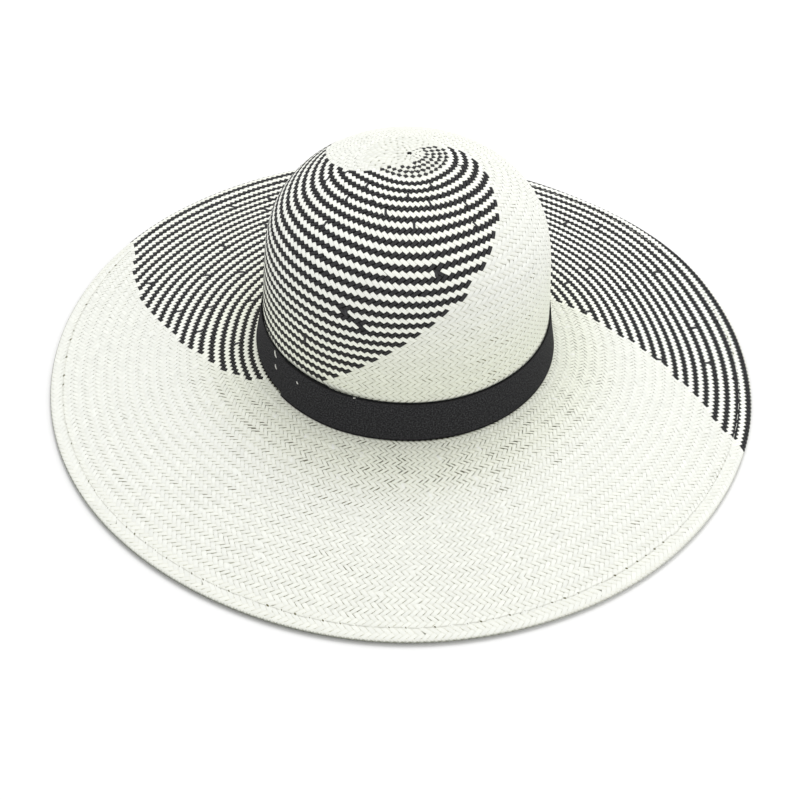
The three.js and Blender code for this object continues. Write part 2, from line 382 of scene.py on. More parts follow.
class Weave:
    """Rows of floats on one surface, with strands added where the rows grow longer."""

    def __init__(self, point, radius, rows, drift, dark_edges, count, swell, rings, seen, skipped,
                 front_known, seed):
        self.point = point
        self.radius = radius
        self.rows = rows
        self.drift = drift
        self.dark_edges = [np.array(edge, float) for edge in dark_edges]
        self.count = count
        self.skipped = skipped
        self.swell = swell
        self.front_known = front_known
        self.random = np.random.default_rng(seed)
        self.added = self.place_added(rings, seen)

    def is_dark(self, theta, label):
        """Whether a place lies in the dark part: anticlockwise from its first edge to its last."""
        first, last = [np.interp(label, edge[:, 1], edge[:, 0]) for edge in self.dark_edges]
        return np.mod(np.degrees(theta) - first, 360) < last - first

    def label(self, row):
        """Distance of a row down the surface before any drift. Dark rows are at half numbers."""
        at = np.arange(len(self.rows)) + 0.5
        first = self.rows[1] - self.rows[0]
        last = self.rows[-1] - self.rows[-2]
        inside = np.interp(row, at, self.rows)
        return inside + np.minimum(row - at[0], 0) * first + np.maximum(row - at[-1], 0) * last

    def row_at(self, label):
        at = np.arange(-1, len(self.rows) + 1) + 0.5
        return np.interp(label, self.label(at), at)

    def stretched(self, theta):
        """Angle as the floats count it, because they lie closer together on some sides."""
        return theta + self.swell[0] * np.sin(theta) + self.swell[1] / 2 * np.sin(2 * theta)

    def stretch(self, theta):
        return 1 + self.swell[0] * np.cos(theta) + self.swell[1] * np.cos(2 * theta)

    def turns_out(self, label):
        """Distance down the surface, counted in radii on the way."""
        step = 0.5
        distances = np.arange(1.0, 220.0, step)
        return np.interp(label, distances, np.cumsum(step / self.radius(distances)))

    def place_added(self, rings, seen):
        """Angle, distance and row of each added strand, and whether it may show as a black end."""
        places = []
        left = list(seen)
        for label, count in rings:
            near = [p for p in left if abs(p[1] - label) < RING_REACH][:count]
            left = [p for p in left if p not in near]
            angles = [p[0] % 360 for p in near]
            labels = [p[1] for p in near]
            low, high = BACK if label > self.front_known else (0, 360)
            while len(angles) < count:
                tries = self.random.uniform(low, high, TRIES)
                gaps = [min([abs((t - a + 180) % 360 - 180) for a in angles] + [180]) for t in tries]
                angles.append(tries[int(np.argmax(gaps))])
                labels.append(label + self.random.uniform(-2.5, 2.5))
            shown = [k < len(near) or BACK_SHOWN[0] < angles[k] < BACK_SHOWN[1] for k in range(count)]
            places += zip(angles, labels, shown)
        places = np.array(places, float)
        row = np.floor(self.row_at(places[:, 1]) * 2) / 2 + 0.25
        return np.stack([np.radians(places[:, 0]), self.label(row), row, places[:, 2]], 1)

    def phase(self, theta, label):
        """Place along a row, where each whole number is the middle of a white float, and its slopes."""
        turn = self.stretched(theta)
        phase = self.count * turn / (2 * np.pi)
        along = 0 * theta + self.count / (2 * np.pi)
        outward = 0 * theta
        squeeze = 1.5
        turns_out = self.turns_out(label)
        slope = 1 / self.radius(label)
        for angle, place, _, _ in self.added:
            x = np.mod(turn - self.stretched(angle) + np.pi, 2 * np.pi) - np.pi
            y = squeeze * (turns_out - self.turns_out(place))
            phase = phase + (x / 2 - np.angle(np.sin((x + 1j * y) / 2))) / (2 * np.pi)
            spread = np.maximum(np.cosh(y) - np.cos(x), 1e-7)
            along = along + (0.5 + 0.5 * np.sinh(y) / spread) / (2 * np.pi)
            outward = outward - 0.5 * np.sin(x) / spread / (2 * np.pi) * squeeze * slope
        return phase, along * self.stretch(theta), outward

    def floats(self, half_rows):
        """Middles of the floats on each half row: whole rows hold one family, halves the other."""
        parts = []
        fine = np.linspace(0, 2 * np.pi, TURN_STEPS + 1)
        for row in half_rows:
            label = self.label(row)
            phase, _, _ = self.phase(fine[:-1], np.full(TURN_STEPS, label))
            phase = np.unwrap(np.concatenate([phase, phase[:1]]), period=1)
            start = 0.0 if row == round(row) else 0.5
            wanted = np.arange(math.ceil(phase[0] - start), math.ceil(phase[-1] - start - 1e-6)) + start
            theta = np.interp(wanted, phase, fine)
            _, along, outward = self.phase(theta, np.full(len(theta), label))
            usual = (phase[-1] - phase[0]) / (2 * np.pi) * self.stretch(theta)
            along = np.clip(along, SHORT_FLOAT * usual, LONG_FLOAT * usual)
            outward = np.clip(outward, -MOST_SKEW, MOST_SKEW)
            parts.append((theta, np.full(len(theta), float(row)), along, outward))
        return [np.concatenate(values) for values in zip(*parts)]

    def place(self, middles, shift_along, shift_row):
        """Angle and distance of points given by their offset from the middle of a float."""
        theta, row, along, outward = [values[:, None, None] for values in middles]
        label = self.label(row + shift_row)
        angle = theta + (shift_along - outward * (label - self.label(row))) / along
        return angle, label + self.drift(angle, label)


# Grids of a patch, as shares of its half length and half width
OUTER_ACROSS = np.array([-1.0, -0.52, 0.52, 1.0])
OUTER_GRID = (np.array([-1.16, -0.82, 0.0, 0.82, 1.16]), OUTER_ACROSS)
HEM_GRID = (np.array([-1.16, -0.95, -0.7, -0.35, 0.0, 0.35, 0.7, 0.95, 1.16]), OUTER_ACROSS)
INNER_GRID = (np.array([-1.14, -0.72, 0.72, 1.14]), np.array([-1.0, 0.0, 1.0]))
JOIN_GRID = (np.array([-1.1, -0.75, 0.0, 0.75, 1.1]), np.array([-1.0, -0.5, 0.5, 1.0]))

# How high a strand's crest stands, and how far its long edges and its ends drop below that
CREST_WHITE = 0.03
CREST_BLACK = 0.14
EDGE_DROP = 0.28
EDGE_DROP_STRIPED = 0.13
END_DROP = 0.55
END_DROP_CROWN_BLACK = 0.30
END_DROP_BRIM_BLACK = 0.36

# Share of its tone that a strand keeps at its edges, as painted shade in the seams, what the painted
# shade of a pinhole at its corner takes away, and what the painted shade on the lower side of the
# rim's edge takes away
EDGE_SHADE_WHITE = (0.935, 0.93, 0.885)
EDGE_SHADE_BLACK = (0.0, 0.0, 0.0)
PINHOLE_SHADE = np.array([[0.62, 0.63, 0.80]])
PAINTED_RIM_SHADE = np.array([[0.88, 0.87, 0.91]])
RIM_SHADE_FROM = 3.5  # height
RIM_SHADE_FADE = 0.6
# The painted shade on the rim's edge is weaker round this angle, at the front right, where the light from
# behind casts less shadow
RIM_LIGHTER_AT = 325  # degrees
RIM_LIGHTER_REACH = 38.0
RIM_LIGHTER = 0.6
FLOOR_CLEARANCE = 0.02


def turn_from(degrees, middle):
    """Angle from the middle, between -180 and 180 degrees."""
    return (degrees - middle + 180) % 360 - 180


def painted_rim_shade(theta, s, height):
    """How dark the painted shade on the lower side of the rim's edge is: less so at the front right."""
    past = s - BRIM_LENGTH
    shade = smoothstep((RIM_SHADE_FROM - height) / RIM_SHADE_FADE)
    shade = shade * (past > 0) * smoothstep(NOSE_LENGTH - past)
    lighter = np.exp(-(turn_from(np.degrees(theta), RIM_LIGHTER_AT) / RIM_LIGHTER_REACH) ** 2)
    return (shade * (1 - RIM_LIGHTER * lighter[:, None, None]))[..., None] * PAINTED_RIM_SHADE


def float_tiles(weave, middles, looks, grid, side, crest, limits, edge_shade_tone):
    """Domed patches, one for each float. Side is 1 on the outside of the hat and -1 inside it."""
    count = len(middles[0])
    lean = looks["leans"][:, None, None]
    edges = looks["edges"]
    p, share = grid_places(grid, count)
    q = share * looks["widths"][:, None, None]
    across_share = np.abs(share)
    angle, s = weave.place(middles, lean * (0.5 * p + 0.25 * q), 0.25 * p - 0.125 * q)
    s = np.clip(s, *limits)
    end_share = smoothstep((np.abs(p) - 0.72) / 0.44)
    drop = looks["edge_drop"][:, None, None] * across_share ** 2.6
    drop = drop + looks["end_drop"][:, None, None] * end_share
    raised = side * (crest - drop) - WALL * (side < 0)
    points = raised_point(weave.point, angle, s, raised)
    points[..., 2] = np.maximum(points[..., 2], FLOOR_CLEARANCE)
    faces = patch_faces(*p.shape)
    faces = np.where(lean * side > 0, faces[:, :, ::-1], faces)
    # Painted shade in the seams: each float darker towards its long edges and its ends, more where it lies
    # loose
    rim = np.maximum(across_share ** 2.2, smoothstep((np.abs(p) - 0.76) / 0.3)) * edges[:, 0, None, None]
    shade = looks["tones"][:, None, None, :] * (1 - (1 - np.array(edge_shade_tone)) * rim[..., None])
    # Painted shade of a pinhole at one corner of each float, deepest on the spotted ones and where strands
    # lie loose
    if grid is OUTER_GRID:
        shade[:, 3, 3] *= 1 - edges[:, 1, None] * PINHOLE_SHADE
    # Painted shade on the lower side of the rim's edge
    shade = shade * (1 - painted_rim_shade(middles[0], s, points[..., 2]))
    flow = np.stack([p * 2.6, q * 1.3], -1) + weave.random.uniform(0, 40, (count, 1, 1, 2))
    return points, faces, shade, flow


def add_weave(name, weave, middles, mask, looks, grid, side, crest, limits, finish, node,
              edge_shade_tone=EDGE_SHADE_WHITE):
    """One piece made of the floats that the mask picks out. Finish is its material and a slot name, which
    is not used.
    """
    middles = [values[mask] for values in middles]
    looks = {key: values[mask] for key, values in looks.items()}
    piece = new_mesh(name, *float_tiles(weave, middles, looks, grid, side, crest, limits, edge_shade_tone))
    finish_piece(piece, *finish, node)


# Materials

FIBRE_STRETCH = (0.9, 6.5, 1.0)
FIBRE_RELIEF = 0.00012  # metres
RIB_RELIEF = 0.00015


class Look:
    """A material with one shader, and the nodes before it."""

    def __init__(self, name, roughness, specular):
        self.material = bpy.data.materials.new(name)
        self.material.use_nodes = True
        self.tree = self.material.node_tree
        self.shader = self.tree.nodes["Principled BSDF"]
        self.shader.inputs["Roughness"].default_value = roughness
        self.shader.inputs["Specular IOR Level"].default_value = specular

    def node(self, kind, inputs, **settings):
        """A node with these settings. Each input is a constant, or the output that feeds it."""
        node = self.tree.nodes.new("ShaderNode" + kind)
        for name, value in settings.items():
            setattr(node, name, value)
        for name, value in inputs.items():
            if isinstance(value, bpy.types.NodeSocket):
                self.tree.links.new(value, node.inputs[name])
            else:
                node.inputs[name].default_value = value
        return node

    def flow(self):
        """Coordinates that run along each strand."""
        return self.node("UVMap", {}, uv_map="flow").outputs["UV"]

    def noise(self, place, scale, detail, roughness=0.5):
        inputs = {"Vector": place, "Scale": scale, "Detail": detail, "Roughness": roughness}
        return self.node("TexNoise", inputs).outputs["Fac"]

    def ribs(self, place, direction, scale, distortion, detail):
        inputs = {"Vector": place, "Scale": scale, "Distortion": distortion, "Detail": detail}
        return self.node("TexWave", inputs, wave_type="BANDS", bands_direction=direction).outputs["Fac"]

    def ramp(self, share, low, high, start=0.0, end=1.0):
        node = self.node("ValToRGB", {"Fac": share})
        for element, place, colour in zip(node.color_ramp.elements, (start, end), (low, high)):
            element.position = place
            element.color = (*colour, 1)
        return node.outputs["Color"]

    def feed(self, output, name):
        self.tree.links.new(output, self.shader.inputs[name])

    def set_colour(self, colour):
        """The shader's colour is this one times the mesh's own tone."""
        tone = self.node("VertexColor", {}, layer_name="tone").outputs["Color"]
        mix = self.node("Mix", {"Factor": 1.0, "A": colour, "B": tone}, data_type="RGBA",
                        blend_type="MULTIPLY")
        self.feed(mix.outputs["Result"], "Base Color")

    def set_relief(self, height, strength, distance):
        relief = self.node("Bump", {"Strength": strength, "Distance": distance, "Height": height})
        self.feed(relief.outputs["Normal"], "Normal")


def straw_material(name, low, high, roughness, specular, relief):
    """Dull straw with fibres along each strand."""
    look = Look(name, roughness, specular)
    place = look.node("Mapping", {"Vector": look.flow(), "Scale": FIBRE_STRETCH}).outputs["Vector"]
    fibre = look.noise(place, 1.0, 3.0, 0.6)
    look.set_colour(look.ramp(fibre, low, high, 0.30, 0.68))
    look.set_relief(fibre, relief, FIBRE_RELIEF)
    return look.material


def shell_material():
    """The inside of the weave, which shows through its slits, tinted by each mesh's tone as painted shade.
    """
    look = Look("straw_depth_shade", 0.9, 0.1)
    grain = look.noise(look.node("TexCoord", {}).outputs["Object"], 900.0, 2.0)
    look.set_colour(look.ramp(grain, (0.55, 0.55, 0.52), (1, 1, 1)))
    return look.material


def band_material():
    """Dark cloth with a fine rib and a little grain."""
    look = Look("band_cloth", 0.9, 0.15)
    flow = look.flow()
    ribs = look.ribs(flow, "X", 0.6, 0.6, 1.0)
    cross = look.ribs(flow, "Y", 0.8, 0.8, 2.0)
    cloth = look.node("Math", {0: ribs, 1: cross}, operation="MULTIPLY").outputs[0]
    cloud = look.noise(flow, 1.1, 3.0)
    total = look.node("Math", {0: cloth, 1: 0.45, 2: cloud}, operation="MULTIPLY_ADD").outputs[0]
    look.set_colour(look.ramp(total, (0.004, 0.004, 0.005), (0.058, 0.058, 0.061), 0.50, 0.74))
    look.set_relief(cloth, 0.35, RIB_RELIEF)
    return look.material


white_straw = straw_material("straw_white", (0.87, 0.883, 0.825), (0.923, 0.934, 0.887), 0.62, 0.3, 0.5)
hem_straw = straw_material("straw_hem", (0.865, 0.878, 0.81), (0.918, 0.929, 0.875), 0.64, 0.3, 0.5)
black_straw = straw_material("straw_black", (0.012, 0.012, 0.013), (0.098, 0.098, 0.102), 0.6, 0.06, 0.7)
thread_straw = straw_material("thread_white", (0.72, 0.73, 0.66), (0.88, 0.88, 0.82), 0.7, 0.3, 0.5)
depth_shade_straw = shell_material()
band_cloth = band_material()

# A material and the record's slot for it
WHITE_FINISH = (white_straw, "straw_white")
BLACK_FINISH = (black_straw, "straw_black")
HEM_FINISH = (hem_straw, "straw_hem")


# Shells under the floats, coloured as painted shade in the slits

SHELL_OUT = -0.52
SHELL_IN = -1.28
SHELL_SIDES = 300
# Painted shade of the straw deep in the slits, under white and under black strands
SHADED_DEPTH_WHITE = (0.16, 0.15, 0.06)
SHADED_DEPTH_DARK = (0.004, 0.004, 0.005)
FILL_WHITE = np.array([(0.80, 0.81, 0.74)])
FILL_REACH = 5.0
TOP_FILL = 0.8
TOP_FILL_END = 27
CENTRE_HOLE = 3.0


def add_shell(node, weave, distances, is_crown):
    """A double sheet inside the weave, dark as painted shade in its slits, pale where strands are added so
    that no wide slit shows.
    """
    theta = np.linspace(0, 2 * np.pi, SHELL_SIDES, endpoint=False)
    grid_s, grid_theta = np.meshgrid(distances, theta, indexing="ij")
    outer = raised_point(weave.point, grid_theta, grid_s, SHELL_OUT)
    inner = raised_point(weave.point, grid_theta, grid_s, SHELL_IN)
    pale = np.ones(grid_s.shape + (1,)) * SHADED_DEPTH_WHITE
    # On the brim the sheet is darker near the band: deeper painted shade there
    if not is_crown:
        pale = pale * (1 - 0.75 * np.exp(-((grid_s - 12) / 20.0) ** 2))[..., None]
    for angle, place, _, _ in weave.added:
        across = (np.mod(grid_theta - angle + np.pi, 2 * np.pi) - np.pi) * weave.radius(place)
        down = grid_s - weave.drift(angle, place) - place
        near = np.exp(-(across ** 2 + down ** 2) / FILL_REACH ** 2)
        pale = pale + (FILL_WHITE - pale) * near[..., None]
    if is_crown:
        filled = TOP_FILL * smoothstep((TOP_FILL_END - grid_s) / 5)[..., None]
        pale = pale + (FILL_WHITE - pale) * filled
    shade = np.where(weave.is_dark(grid_theta, grid_s)[..., None], SHADED_DEPTH_DARK, pale)
    # Painted shade in the small hole at the middle of the top
    if is_crown:
        shade = np.where(grid_s[..., None] < CENTRE_HOLE, SHADED_DEPTH_DARK, shade)
    closing = 0 if is_crown else 1
    points = np.concatenate([outer, inner[::-1], outer[:closing]])
    tones = np.concatenate([shade, shade[::-1], shade[:closing]])
    faces = grid_faces(len(points), SHELL_SIDES, closed=True)
    piece = new_mesh(node + "_depth", points, faces, tones)
    finish_piece(piece, depth_shade_straw, "straw_white", node)


crown_weave = Weave(crown_point, crown_radius, CROWN_ROWS,
                    drift_function(CROWN_DRIFT_STATIONS, CROWN_DRIFT),
                    (CROWN_LEFT_EDGE, CROWN_RIGHT_EDGE), CROWN_COUNT, (0.0, 0.0), CROWN_RINGS,
                    CROWN_SEEN, CROWN_SKIPPED, 130.0, SEED)
brim_weave = Weave(brim_point, brim_radius, BRIM_ROWS,
                   drift_function(BRIM_DRIFT_STATIONS, BRIM_DRIFT),
                   (BRIM_RIGHT_EDGE, BRIM_LEFT_EDGE), BRIM_COUNT, (0.04, 0.09), BRIM_RINGS,
                   BRIM_SEEN, [], math.inf, SEED + 1)

add_shell("crown", crown_weave,
          np.concatenate([[0.4, 2, 4, 7], np.arange(11, 189, 3.5), [CROWN_END]]), True)
add_shell("brim", brim_weave, np.concatenate([np.arange(-2.8, 124, 3.5), [BRIM_LENGTH]]), False)


# Floats of the crown and the brim

# Widths are shares of the room that each float has
TIGHT_WIDTH = 1.002
OPEN_FIRST = 0.036
OPEN_SECOND = 0.060
WIDTH_SPREAD = 0.012
STRIPED_WIDTH = 0.985
PRESSED_WIDTH = 0.982
PRESSED_FROM = 118  # distance down the brim, near the stitches
STRIPED_TONE = 1.07
TONE_SPREAD = 0.018
# Share of floats given the painted shade of a pinhole at a corner; more near the band
SPOT_SHARE = 0.16


def float_looks(weave, middles):
    """Family, width, tone and edges of each float, and which floats are dark or black."""
    theta, row, _, _ = middles
    count = len(theta)
    first_family = np.isclose(row, np.round(row))
    leans = np.where(first_family, 1.0, -1.0)
    label = weave.label(row)
    dark_zone = weave.is_dark(theta, label)
    black = dark_zone & ~first_family
    for degrees, place in weave.skipped:
        angle = np.radians(turn_from(np.degrees(theta), degrees))
        reach = np.hypot(angle * weave.radius(label), label - place)
        black[np.argmin(np.where(first_family, reach, 1000.0))] = True
    # Strands lie looser where they run from side to side, and near the band, and their seams take painted
    # shade by the same amount: deepest where the slits lie across the light from behind, and near the band
    near_band = np.exp(-((label - 20) / 20.0) ** 2) * (weave is brim_weave)
    looseness_and_seam_shade = 0.15 + 1.15 * np.cos(theta + leans * np.radians(60)) ** 2 + 0.4 * near_band
    widths = TIGHT_WIDTH - np.where(first_family, OPEN_FIRST, OPEN_SECOND) * looseness_and_seam_shade
    widths = widths + weave.random.normal(0, WIDTH_SPREAD, count)
    open_share = 0.05 + 0.30 * near_band
    chance = weave.random.random(count)
    widths = np.where(chance < open_share, widths - 0.09 * looseness_and_seam_shade, widths)
    widths = np.where(chance < open_share * 0.25, widths - 0.10 * looseness_and_seam_shade, widths)
    if weave is brim_weave:
        widths = np.where(label > PRESSED_FROM, np.maximum(widths, PRESSED_WIDTH), widths)
    tones = weave.random.normal(1.0, TONE_SPREAD, (count, 1)) * np.ones((1, 3))
    spotted = weave.random.random(count) < SPOT_SHARE + open_share
    spots = np.where(spotted, 0.75, 0.15) * np.clip(looseness_and_seam_shade, 0, 1)
    looks = {"leans": leans, "widths": widths, "tones": np.clip(tones, 0.9, 1.05),
             "edges": np.stack([looseness_and_seam_shade, spots * ~dark_zone], -1),
             "edge_drop": np.full(count, EDGE_DROP), "end_drop": np.full(count, END_DROP)}
    return looks, label, dark_zone, black


def painted_shade_and_bounce(weave, label):
    """Tone down the surface with painted shade and bounced light: darker and yellower on the crown's wall
    and on the brim near the band.
    """
    share, loss = smoothstep((label - 90) / 70), [0.055, 0.042, 0.115]
    if weave is brim_weave:
        share, loss = smoothstep((50 - label) / 45), [0.02, 0.01, 0.07]
    return 1 - share[:, None] * np.array(loss)


def weave_outside(node, weave, half_rows, limits, finish, grid, split):
    """Pieces of the outer weave. Split puts the two white families into pieces of their own."""
    middles = weave.floats(half_rows)
    looks, label, dark_zone, black = float_looks(weave, middles)
    striped = dark_zone & ~black
    # Black floats take the full painted shade at their edges
    looks["edges"][black, 0] = 1.0
    looks["widths"][black] = 1.0
    looks["widths"][striped] = STRIPED_WIDTH
    looks["edge_drop"][striped] = EDGE_DROP_STRIPED
    looks["end_drop"][black] = END_DROP_CROWN_BLACK
    if weave is brim_weave:
        looks["end_drop"][black] = END_DROP_BRIM_BLACK
        flatter = 1 - 0.5 * smoothstep((label - 116) / 8)
        looks["edge_drop"] *= flatter
        looks["end_drop"] *= flatter
    looks["tones"][striped] *= STRIPED_TONE
    # Painted shade and bounced light: darker and yellower on the crown's wall and near the band
    looks["tones"] *= painted_shade_and_bounce(weave, label)
    masks = {"white": ~black}
    if split:
        masks = {"over": ~black & (looks["leans"] > 0), "cross": ~black & (looks["leans"] < 0)}
    for suffix, mask in masks.items():
        add_weave(f"{node}_weave_{suffix}", weave, middles, mask, looks, grid, 1, CREST_WHITE, limits,
                  finish, node)
    add_weave(f"{node}_weave_black", weave, middles, black, looks, grid, 1, CREST_BLACK, limits,
              BLACK_FINISH, node, EDGE_SHADE_BLACK)


def weave_inside(node, weave, half_rows, limits):
    middles = weave.floats(half_rows)
    looks, _, dark_zone, _ = float_looks(weave, middles)
    looks["leans"] *= -1
    black = dark_zone & (looks["leans"] < 0)
    for suffix, mask, finish in (("white", ~black, WHITE_FINISH), ("black", black, BLACK_FINISH)):
        add_weave(f"{node}_inside_{suffix}", weave, middles, mask, looks, INNER_GRID, -1, 0.0, limits,
                  finish, node)


HEM_FIRST_ROW = len(BRIM_ROWS) - 2.0
INSIDE_LAST_ROW = 18.2

crown_half_rows = np.arange(0, len(CROWN_ROWS) + 0.5, 0.5)
brim_half_rows = np.arange(0, HEM_FIRST_ROW, 0.5)
hem_half_rows = np.arange(HEM_FIRST_ROW, len(BRIM_ROWS) + 0.1, 0.5)
inside_half_rows = brim_half_rows[brim_half_rows < INSIDE_LAST_ROW]

weave_outside("crown", crown_weave, crown_half_rows, (0.4, CROWN_END), WHITE_FINISH, OUTER_GRID, False)
weave_inside("crown", crown_weave, crown_half_rows, (0.4, CROWN_END))
weave_outside("brim", brim_weave, brim_half_rows, (-3.0, 136.0), WHITE_FINISH, OUTER_GRID, True)
weave_outside("brim_hem", brim_weave, hem_half_rows, (124.0, EDGE_END), HEM_FINISH, HEM_GRID, False)
weave_inside("brim", brim_weave, inside_half_rows, (-3.0, 121.0))


# Middle of the crown's top: single crossings instead of floats over two strands

CENTRE_RINGS = ((2.4, 6), (5.2, 11), (7.9, 16))
CELL_GRID = np.array([-1.0, -0.5, 0.0, 0.5, 1.0])
CELL_DROP = 0.42


def top_rings():
    """Angle, distance, half span, half depth and blackness of each crossing."""
    rings = []
    for k, (label, count) in enumerate(zip(CROWN_DOT_ROWS, CROWN_DOT_COUNTS)):
        theta = (np.arange(count) + 0.37 * k) * 2 * np.pi / count
        span = math.pi / count
        rings.append((theta, label, span, 1.9, crown_weave.is_dark(theta, label)))
        rings.append((theta + span, label + 1.85, span, 2.1, False))
    for label, count in CENTRE_RINGS:
        theta = (np.arange(count) + 0.2 * label) * 2 * np.pi / count
        rings.append((theta, label, 1.15 * math.pi / count, 2.2, False))
    columns = zip(*[np.broadcast_arrays(*ring) for ring in rings])
    return [np.concatenate(values) for values in columns]


def add_top(inside):
    side = -1 if inside else 1
    theta, s, span, reach, black = top_rings()
    a, b = np.meshgrid(CELL_GRID, CELL_GRID, indexing="ij")
    half = (a + b) / 2
    other = (a - b) / 2
    rim = np.maximum(np.abs(a), np.abs(b)) ** 2.4
    for name, mask, finish, size, crest in (("white", ~black, WHITE_FINISH, 1.10, CREST_WHITE),
                                            ("black", black, BLACK_FINISH, 0.90, 0.16)):
        count = mask.sum()
        middle, down, wide, deep = [values[mask][:, None, None] for values in (theta, s, span, reach)]
        angle = middle + wide * size * half
        along = down + deep * size * other
        drift = crown_weave.drift(angle, 27.0 + 0 * along) * smoothstep(along / 26)
        along = np.clip(along + drift, 1.5, 30)
        raised = side * (crest - CELL_DROP * rim) - WALL * inside
        points = raised_point(crown_point, angle, along, raised)
        faces = patch_faces(count, *rim.shape)[:, :, ::-side]
        tones = np.clip(crown_weave.random.normal(0.95, 0.025, (count, 1, 1)), 0.87, 1.0)
        # Painted shade at the edges of each crossing, where it dips under the next
        tones = tones * (1 - rim.reshape(-1, 1) * np.array([0.10, 0.10, 0.15]))
        flow = np.stack([a * 1.3, b * 1.3], -1) + crown_weave.random.uniform(0, 40, (count, 1, 1, 2))
        where = "crown_inside_middle_" if inside else "crown_middle_"
        finish_piece(new_mesh(where + name, points, faces, tones, flow), *finish, "crown")


add_top(False)
add_top(True)


# Short ends that join two rows where a strand is added

JOIN_HEIGHT_BLACK = 0.20
JOIN_HEIGHT_WHITE = -0.02


def add_joins(node, weave, last_label, half_width, black):
    places = weave.added[weave.added[:, 1] < last_label]
    places = places[weave.is_dark(places[:, 0], places[:, 1]) == black]
    if black:
        places = places[places[:, 3] > 0]
    theta, label, row, _ = places.T
    _, along, _ = weave.phase(theta, label)
    usual = weave.count / (2 * np.pi)
    along = np.clip(along, 0.8 * usual, 2.2 * usual)
    count = len(theta)
    p, q = grid_places(JOIN_GRID, count)
    lean = weave.random.normal(0.10, 0.06, (count, 1, 1))
    middles = theta, np.round(row), along, 0 * along
    angle, s = weave.place(middles, lean * p + half_width * q, 0.33 * p)
    height = JOIN_HEIGHT_BLACK if black else JOIN_HEIGHT_WHITE
    raised = height - 0.35 * np.abs(q) ** 2.4 - 0.6 * smoothstep((np.abs(p) - 0.7) / 0.4)
    points = raised_point(weave.point, angle, s, raised)
    faces = patch_faces(*p.shape)
    tones = np.ones((p.size, 3))
    flow = np.stack([p * 1.6, q * 0.7], -1) + weave.random.uniform(0, 40, (count, 1, 1, 2))
    colour, finish = ("black", BLACK_FINISH) if black else ("white", WHITE_FINISH)
    finish_piece(new_mesh(f"{node}_joins_{colour}", points, faces, tones, flow), *finish, node)


add_joins("crown", crown_weave, 180, 0.27, True)
add_joins("crown", crown_weave, 180, 0.27, False)
add_joins("brim", brim_weave, 116, 0.36, True)
add_joins("brim", brim_weave, 124, 0.36, False)


# The turned rim's core and the thread of its stitches

CORE_SIDES = 360
CORE_OUTLINE = [(-6.6, 2.95), (-1.2, 0.55), (-0.3, 0.55), (1.3, 1.6), (2.4, 2.5), (2.1, 3.2), (1.2, 3.75),
    (0.0, 3.9), (-0.4, 3.9), (-0.4, 2.35), (-6.6, 3.55)]

# Lengths along the rim are in degrees
SHORT_STITCH = 1.9
LONG_STITCH = 2.7
STITCH_GAP = 0.16
STITCH_POINTS = 9
THREAD_SIDES = 6
THREAD_RADIUS = 0.28
HIDDEN_THREAD_RADIUS = 0.16
HOLE_POINTS = 8
HOLE_SIZES = [0.1, 0.25, 0.3, 0.4, 0.55]
# Stitch holes are dark discs: painted shade inside each hole
HOLE_SHADE_TONE = (0.17, 0.16, 0.07)
STITCH_RADIUS = 215  # of the line of stitches round the hat


def add_hem_core():
    """A closed ring inside the turned rim, which shows only through its slits, coloured as painted shade.
    """
    theta = np.linspace(0, 2 * np.pi, CORE_SIDES, endpoint=False)
    end = rim_radius(np.degrees(theta)) - HEM_NOSE
    outline = CORE_OUTLINE + CORE_OUTLINE[:1]
    points = np.array([with_shift(end + out, theta, height) for out, height in outline])
    dark = brim_weave.is_dark(theta, 133.0)
    shade = np.where(dark[:, None], SHADED_DEPTH_DARK, SHADED_DEPTH_WHITE) * np.ones((len(outline), 1, 1))
    faces = grid_faces(len(outline), CORE_SIDES, closed=True)
    finish_piece(new_mesh("brim_hem_core", points, faces, shade), depth_shade_straw, "straw_hem", "brim_hem")


add_hem_core()


def tube(centres, radius):
    """Rings of points round a line."""
    ahead = np.gradient(centres, axis=0)
    ahead /= np.linalg.norm(ahead, axis=1, keepdims=True)
    across = np.cross(ahead, (0, 0, 1))
    across /= np.linalg.norm(across, axis=1, keepdims=True)
    lift = np.cross(across, ahead)
    turn = np.linspace(0, 2 * np.pi, THREAD_SIDES, endpoint=False)[:, None]
    ring = np.cos(turn) * across[:, None] + np.sin(turn) * lift[:, None]
    return centres[:, None] + ring * radius


def stitch_label(degrees):
    """Distance of the line of stitches down the brim."""
    near_right = np.exp(-(turn_from(degrees, 310) / 35.0) ** 2)
    waver = 0.25 * np.sin(np.radians(degrees * 7)) + 0.2 * np.sin(np.radians(degrees * 17))
    return 122.6 - 1.8 * near_right + waver


